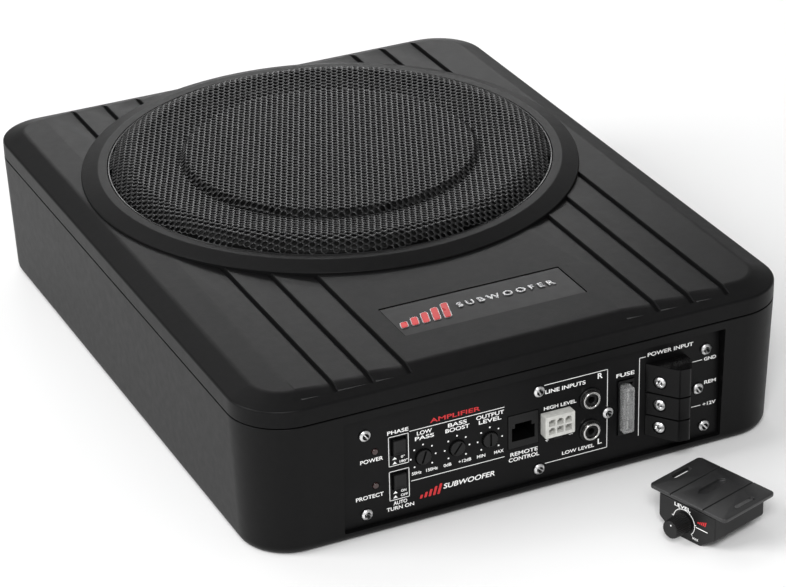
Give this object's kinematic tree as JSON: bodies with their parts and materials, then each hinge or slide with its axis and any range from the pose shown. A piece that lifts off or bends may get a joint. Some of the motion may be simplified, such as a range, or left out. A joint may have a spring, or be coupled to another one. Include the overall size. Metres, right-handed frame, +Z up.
{
  "type": "powered car subwoofer",
  "caption": "Low-profile powered car subwoofer with a domed round grille, a front control and connection panel, and a small wired level remote standing beside it.",
  "frame": {"origin": "centre of the flat base of the main box, at the surface it stands on", "axes": "+Z up, -Y towards the control panel, +X to the right when looking at the control panel"},
  "size_m": [0.274, 0.4345, 0.0877],
  "materials": {
    "housing_plastic": "black moulded plastic, fine spark texture",
    "grille_paint": "satin black paint on perforated steel",
    "badge_face": null,
    "panel_face": "satin black panel with white printing",
    "screw_steel": "bright zinc-plated steel",
    "jack_chrome": "nickel-plated shells",
    "control_plastic": "black moulded plastic",
    "socket_plastic": "black glossy moulding",
    "nylon": "natural white nylon",
    "fuse_body": "clear grey plastic round a metal link",
    "led_lens": "dark lens, unlit",
    "remote_plastic": "black moulded plastic",
    "remote_plate_finish": "black moulded plastic",
    "basket_paint": "black paint",
    "steel": "plated steel",
    "ferrite": "sintered ferrite",
    "cone_paper": "black coated paper",
    "foam_rubber": "black rubber",
    "resin_cloth": "resin-dipped cloth",
    "copper": "enamelled copper wire",
    "board": "green circuit board",
    "sink": "extruded aluminium",
    "sleeve": "dark blue shrink sleeve"
  },
  "bodies": {
    "enclosure": {"bottom_housing": "housing_plastic", "top_cover": "housing_plastic", "grille": "grille_paint", "badge_plate": "badge_face", "cover_screw_1": "screw_steel", "cover_screw_2": "screw_steel", "cover_screw_3": "screw_steel", "cover_screw_4": "screw_steel", "basket": "basket_paint", "magnet": "ferrite", "top_plate": "steel", "yoke": "steel", "surround": "foam_rubber", "spider": "resin_cloth", "control_panel": "panel_face", "panel_screw_1": "screw_steel", "panel_screw_2": "screw_steel", "panel_screw_3": "screw_steel", "panel_screw_4": "screw_steel", "panel_screw_5": "screw_steel", "panel_screw_6": "screw_steel", "panel_screw_7": "screw_steel", "panel_screw_8": "screw_steel", "power_led": "led_lens", "protect_led": "led_lens", "low_pass_pot": "socket_plastic", "bass_boost_pot": "socket_plastic", "output_level_pot": "socket_plastic", "phase_switch": "socket_plastic", "auto_turn_on_switch": "socket_plastic", "remote_socket": "socket_plastic", "high_level_connector": "nylon", "rca_right_insulator": "control_plastic", "rca_right_shell": "jack_chrome", "rca_left_insulator": "control_plastic", "rca_left_shell": "jack_chrome", "fuse_holder": "socket_plastic", "terminal_block": "socket_plastic", "front_board": "board", "main_board": "board", "heat_sink": "sink", "power_toroid": "copper", "reservoir_capacitor": "sleeve"},
    "cone_assembly": {"cone": "cone_paper", "dust_cap": "foam_rubber", "voice_coil": "copper"},
    "low_pass_control": {"low_pass_knob": "control_plastic"},
    "bass_boost_control": {"bass_boost_knob": "control_plastic"},
    "output_level_control": {"output_level_knob": "control_plastic"},
    "phase_push": {"phase_button": "control_plastic"},
    "auto_turn_on_push": {"auto_turn_on_button": "control_plastic"},
    "fuse_plug": {"fuse": "fuse_body"},
    "terminal_screw_ground": {"terminal_screw_1": "screw_steel"},
    "terminal_screw_remote": {"terminal_screw_2": "screw_steel"},
    "terminal_screw_power": {"terminal_screw_3": "screw_steel"},
    "remote_unit": {"remote_case": "remote_plastic", "remote_plate": "remote_plate_finish", "remote_pot": "socket_plastic", "remote_jack": "socket_plastic"},
    "remote_dial": {"remote_knob": "control_plastic"}
  },
  "joints": [
    {"name": "cone_stroke", "type": "slide", "parent": "enclosure", "child": "cone_assembly", "axis": [0, 0, 1], "range_m": [-0.005, 0.005], "stiffness_N_per_m": 2000, "deforming": ["surround", "spider"]},
    {"name": "low_pass_turn", "type": "hinge", "parent": "enclosure", "child": "low_pass_control", "pos_m": [-0.0526, -0.1714, 0.0333], "axis": [0, 1, 0], "range_deg": [-140, 140]},
    {"name": "bass_boost_turn", "type": "hinge", "parent": "enclosure", "child": "bass_boost_control", "pos_m": [-0.0357, -0.1714, 0.0333], "axis": [0, 1, 0], "range_deg": [-140, 140]},
    {"name": "output_level_turn", "type": "hinge", "parent": "enclosure", "child": "output_level_control", "pos_m": [-0.0192, -0.1714, 0.0333], "axis": [0, 1, 0], "range_deg": [-140, 140]},
    {"name": "phase_press", "type": "slide", "parent": "enclosure", "child": "phase_push", "axis": [0, 1, 0], "range_m": [0, 0.0022], "stiffness_N_per_m": 300},
    {"name": "auto_turn_on_press", "type": "slide", "parent": "enclosure", "child": "auto_turn_on_push", "axis": [0, 1, 0], "range_m": [0, 0.0022], "stiffness_N_per_m": 300},
    {"name": "fuse_pull", "type": "slide", "parent": "enclosure", "child": "fuse_plug", "axis": [0, -1, 0], "range_m": [0, 0.019]},
    {"name": "ground_screw_turn", "type": "hinge", "parent": "enclosure", "child": "terminal_screw_ground", "pos_m": [0.06521, -0.17596, 0.0434], "axis": [-0.7779, -0.6283, 0], "continuous": true},
    {"name": "remote_screw_turn", "type": "hinge", "parent": "enclosure", "child": "terminal_screw_remote", "pos_m": [0.06521, -0.17596, 0.0316], "axis": [-0.7779, -0.6283, 0], "continuous": true},
    {"name": "power_screw_turn", "type": "hinge", "parent": "enclosure", "child": "terminal_screw_power", "pos_m": [0.06521, -0.17596, 0.0198], "axis": [-0.7779, -0.6283, 0], "continuous": true},
    {"name": "remote_lift", "type": "slide", "parent": "enclosure", "child": "remote_unit", "axis": [0, 0, 1], "range_m": [0, 0.15]},
    {"name": "remote_level_turn", "type": "hinge", "parent": "remote_unit", "child": "remote_dial", "pos_m": [0.03516, -0.2398, 0.0086], "axis": [0.9511, 0.309, 0], "range_deg": [-140, 140]}
  ]
}
